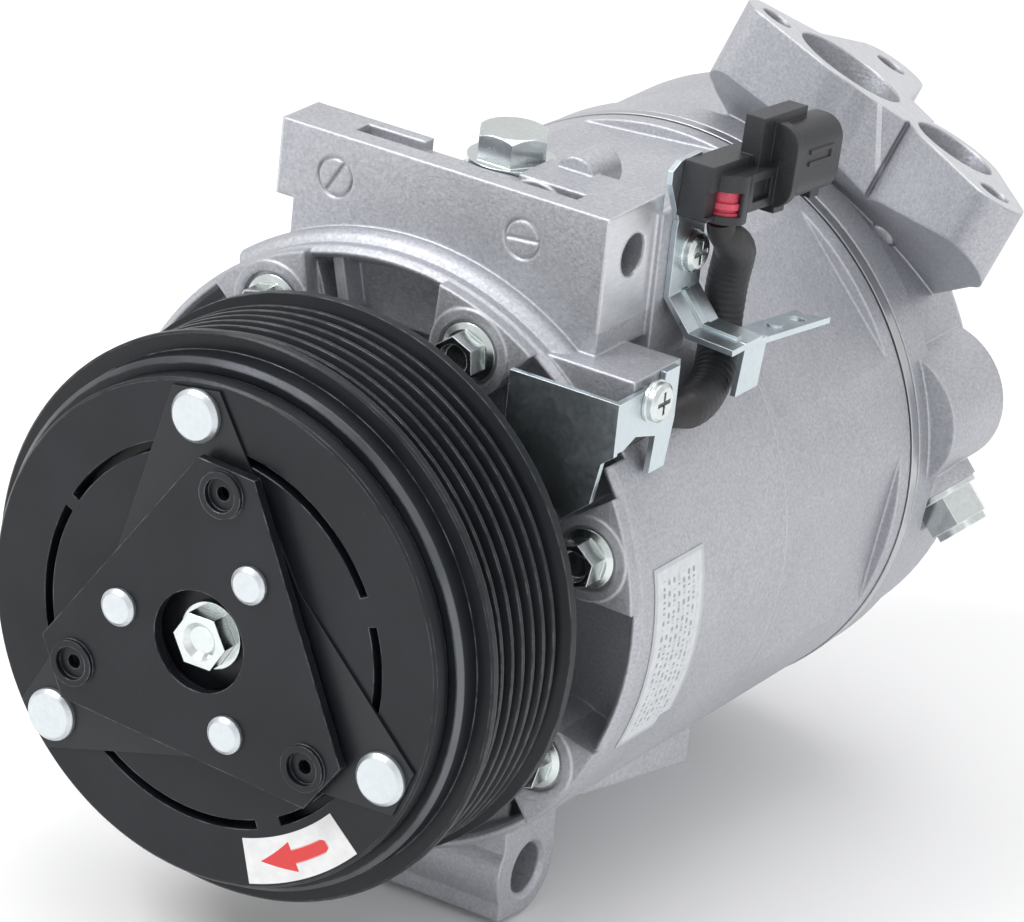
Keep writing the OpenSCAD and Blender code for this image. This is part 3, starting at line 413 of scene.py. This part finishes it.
# ------------------------------------------------------------------ coil lead: round wire and ribbed sleeve
def coil_lead():
    """the lead's own route, swept with a round section; fine ribs on the sleeve, plain wire at both ends"""
    route = [(34.2, 16.6, 26.6), (34.6, 20.4, 26), (35.8, 24.2, 24.4), (39.4, 27.6, 27.4), (44.4, 29.4, 33.2),
             (48.6, 31, 37.1), (50, 36, 38.3), (50.1, 44, 38.4), (51.6, 49.5, 38.7), (52.2, 56, 39), (51, 62, 40),
             (49.3, 67.4, 42.2), (47.2, 71.6, 45.6), (46, 73.8, 50.4), (46, 74.4, 57), (47.2, 73.4, 62.4),
             (48.4, 71, 65.6), (48.7, 67.6, 68.2), (48.45, 65.2, 70.2), (48.4, 64.6, 72.5)]
    p = [Vector(q) for q in route]
    n = len(p)
    sub = 16

    def at(t):
        k = min(int(t), n - 2)
        u = t - k
        a, b, c, d = p[max(k - 1, 0)], p[k], p[k + 1], p[min(k + 2, n - 1)]
        return 0.5 * ((2 * b) + (c - a) * u + (2 * a - 5 * b + 4 * c - d) * u * u + (3 * b - a - 3 * c + d) * u ** 3)

    pts = [at(i / sub) for i in range((n - 1) * sub + 1)]
    arc = [0.0]
    for a, b in zip(pts, pts[1:]):
        arc.append(arc[-1] + (b - a).length)

    def rad(i):
        j = i * 4 / sub                      # position along the route, quarter steps
        if j < 30:
            return 2.28
        if j < 34:
            return 2.28 + (4.08 - 2.28) * (j - 30) / 4
        if j < 62:
            return 4.06 + 0.05 * math.sin(arc[i] * 2 * math.pi / 1.6)
        if j < 72:
            return 4.04 + (2.76 - 4.04) * (j - 62) / 10
        return 2.76

    me = bpy.data.meshes.new("lead_sleeve_round")
    bm = bmesh.new()
    seg = 28
    up = Vector((1, 0, 0))
    rings = []
    for i, q in enumerate(pts):
        t = (pts[min(i + 1, len(pts) - 1)] - pts[max(i - 1, 0)]).normalized()
        up = (up - t * up.dot(t)).normalized()
        side = t.cross(up)
        r = rad(i)
        rings.append([bm.verts.new((q + (up * math.cos(2 * math.pi * k / seg) + side * math.sin(2 * math.pi * k / seg)) * r) * 0.001)
                      for k in range(seg)])
    for a, b in zip(rings, rings[1:]):
        for k in range(seg):
            bm.faces.new((a[k], a[(k + 1) % seg], b[(k + 1) % seg], b[k]))
    bm.faces.new(rings[0][::-1])
    bm.faces.new(rings[-1])
    bmesh.ops.recalc_face_normals(bm, faces=bm.faces[:])
    for f in bm.faces:
        f.smooth = len(f.verts) == 4
    bm.to_mesh(me)
    bm.free()
    o = bpy.data.objects.new("lead_sleeve_round", me)
    bpy.context.scene.collection.objects.link(o)
    o.data.materials.append(MATS["lead_sleeve"])
    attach(o, "case")
    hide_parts("coil_lead")
    return o


coil_lead()


def gallery_plug():
    """pressed plug that closes the drilled way under the port tower, along the way's own axis"""
    a = math.radians(48.4)
    d = Vector((math.cos(a), 0, math.sin(a)))
    side = Vector((0, 1, 0))
    other = d.cross(side)
    me = bpy.data.meshes.new("gallery_plug")
    bm = bmesh.new()
    seg = 40
    rings = []
    for h, r in ((52.0, 3.14), (60.6, 3.14), (61.0, 2.8)):
        rings.append([bm.verts.new((Vector((0, 152, 0)) + d * h + (side * math.cos(2 * math.pi * k / seg) + other * math.sin(2 * math.pi * k / seg)) * r) * 0.001)
                      for k in range(seg)])
    for p, q in zip(rings, rings[1:]):
        for k in range(seg):
            bm.faces.new((p[k], p[(k + 1) % seg], q[(k + 1) % seg], q[k]))
    bm.faces.new(rings[0][::-1])
    bm.faces.new(rings[-1])
    bmesh.ops.recalc_face_normals(bm, faces=bm.faces[:])
    for f in bm.faces:
        f.smooth = len(f.verts) == 4
    bm.to_mesh(me)
    bm.free()
    o = bpy.data.objects.new("gallery_plug", me)
    bpy.context.scene.collection.objects.link(o)
    o.data.materials.append(MATS["cast_aluminium"])
    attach(o, "case")
    return o


gallery_plug()

# ------------------------------------------------------------------ floor, light, camera
def floor():
    me = bpy.data.meshes.new("floor")
    bm = bmesh.new()
    s = 3.0
    z = CAD_BOX[0][2] - 0.0005
    vs = [bm.verts.new((x * s, y * s, z)) for x, y in ((-1, -1), (1, -1), (1, 1), (-1, 1))]
    bm.faces.new(vs)
    bmesh.ops.subdivide_edges(bm, edges=bm.edges[:], cuts=8, use_grid_fill=True)
    bm.to_mesh(me)
    bm.free()
    o = bpy.data.objects.new("floor", me)
    bpy.context.scene.collection.objects.link(o)
    m = Mat("studio_floor")
    m.link(m.ramp(m.noise(3, 2), [(0.3, (0.90, 0.90, 0.905)), (0.7, (0.94, 0.94, 0.94))]), m.b.inputs["Base Color"])
    m.b.inputs["Roughness"].default_value = 0.65
    o.data.materials.append(m.finish(0))
    return o


floor()

sc = bpy.context.scene
w = bpy.data.worlds.new("studio")
sc.world = w
w.use_nodes = True
bg = w.node_tree.nodes["Background"]
bg.inputs[0].default_value = (1.0, 1.0, 1.0, 1)
bg.inputs[1].default_value = 0.86


def area(name, loc, target, size, power, col=(1, 1, 1)):
    d = bpy.data.lights.new(name, "AREA")
    d.shape = "RECTANGLE"
    d.size, d.size_y = size
    d.energy = power
    d.color = col
    o = bpy.data.objects.new(name, d)
    sc.collection.objects.link(o)
    o.location = loc
    o.rotation_euler = (Vector(target) - Vector(loc)).to_track_quat("-Z", "Y").to_euler()
    return o


T = (0.0, 0.06, 0.0)
area("key", (-0.55, -0.60, 0.95), T, (0.6, 0.45), 9)
area("fill", (0.95, -0.45, 0.35), T, (0.5, 0.8), 0.8)
area("top", (0.1, 0.25, 1.1), T, (0.8, 0.8), 4)

cam_d = bpy.data.cameras.new("camera")
cam = bpy.data.objects.new("camera", cam_d)
sc.collection.objects.link(cam)
R = Vector((0.83935077, 0.53477283, 0.09751057))
U = Vector((-0.28573816, 0.28144723, 0.91604648))
B = Vector((0.46243269, -0.79674681, 0.38903795))
C = Vector((0.586666, -0.931219, 0.496960))
cam.matrix_world = Matrix(((R.x, U.x, B.x, C.x), (R.y, U.y, B.y, C.y), (R.z, U.z, B.z, C.z), (0, 0, 0, 1)))
cam_d.sensor_width = 36.0
cam_d.sensor_fit = "HORIZONTAL"
cam_d.lens = 6422.95 * 36.0 / 1024
cam_d.clip_start = 0.05
cam_d.clip_end = 20
sc.camera = cam
sc.view_settings.view_transform = "Standard"
